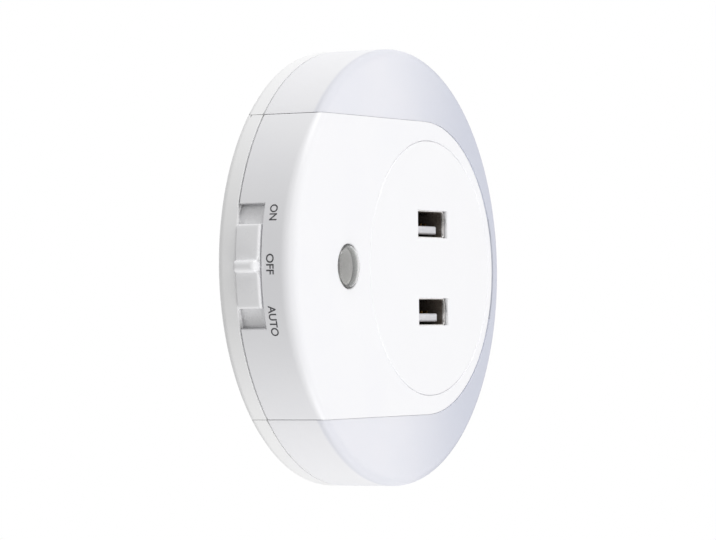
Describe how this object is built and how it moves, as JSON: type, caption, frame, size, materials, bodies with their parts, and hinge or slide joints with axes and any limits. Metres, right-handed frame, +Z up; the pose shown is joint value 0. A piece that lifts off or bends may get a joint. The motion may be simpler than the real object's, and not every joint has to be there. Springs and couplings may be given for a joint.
{
  "type": "plug in night light",
  "caption": "Round wall night light with a frosted horseshoe light shell, USB sockets, a light sensor and a three position slide switch; flat plug blades behind.",
  "frame": {"origin": "centre of the flat back face, midway between the plug blades, at the wall's surface", "axes": "+Y into the wall, so the front looks along -Y; +Z up as in the picture; +X towards the USB sockets and away from the switch"},
  "size_m": [0.096, 0.0376, 0.094],
  "materials": {
    "housing_white": "fine satin moulded white",
    "cover_white": "fine satin moulded white",
    "plate_white": "fine satin moulded white",
    "frosted_shell": "frosted, lets light through",
    "knob_white": "smooth moulded white",
    "clear_lens": "clear moulded window",
    "sensor_resin": "clear grey resin",
    "socket_steel": "plated steel",
    "tongue_white": "moulded white",
    "contact_gold": "gold plated",
    "switch_steel": "tinned steel",
    "lever_black": "moulded black",
    "terminal_tin": "tinned",
    "board_green": "green solder mask",
    "lamp_white": "white frame with yellow phosphor",
    "wire_white": "insulated wire",
    "blade_brass": "nickel washed brass",
    "screw_steel": "zinc plated",
    "ferrite": "pressed ferrite",
    "coil_tape": "yellow tape",
    "capacitor_sleeve": "shrink sleeve",
    "choke_wire": "enamelled copper",
    "disc_blue": "dipped blue",
    "fuse_body": "ceramic tube",
    "chip_black": "moulded black epoxy"
  },
  "bodies": {
    "root": {"front_housing": "housing_white", "back_cover": "cover_white", "usb_face_plate": "plate_white", "diffuser": "frosted_shell", "sensor_lens": "clear_lens", "light_sensor": "sensor_resin", "usb_shell_upper": "socket_steel", "usb_shell_lower": "socket_steel", "usb_tongue_upper": "tongue_white", "usb_tongue_lower": "tongue_white", "usb_contacts_upper": "contact_gold", "usb_contacts_lower": "contact_gold", "switch_case": "switch_steel", "switch_terminals": "terminal_tin", "power_board": "board_green", "led_board_upper": "board_green", "led_board_lower": "board_green", "leds_upper": "lamp_white", "leds_lower": "lamp_white", "led_wires": "wire_white", "plug_blade_left": "blade_brass", "plug_blade_right": "blade_brass", "case_screws": "screw_steel", "transformer_core": "ferrite", "transformer_coil": "coil_tape", "input_capacitors": "capacitor_sleeve", "output_capacitors": "capacitor_sleeve", "choke_coil": "choke_wire", "noise_capacitor": "disc_blue", "fuse": "fuse_body", "bridge_rectifier": "chip_black", "control_chip": "chip_black", "output_diode": "chip_black", "led_resistors": "chip_black"},
    "knob": {"switch_knob": "knob_white"},
    "lever": {"switch_lever": "lever_black"}
  },
  "joints": [
    {"name": "knob_swing", "type": "hinge", "parent": "root", "child": "knob", "pos_m": [0, 0, 0], "axis": [0, 1, 0], "range_deg": [-4.8, 4.8]},
    {"name": "lever_slide", "type": "slide", "parent": "root", "child": "lever", "axis": [0, 0, 1], "range_m": [-0.00349, 0.00349]}
  ],
  "couplings": [
    {"joint": "lever_slide", "follows": "knob_swing", "m_per_rad": 0.04155}
  ]
}
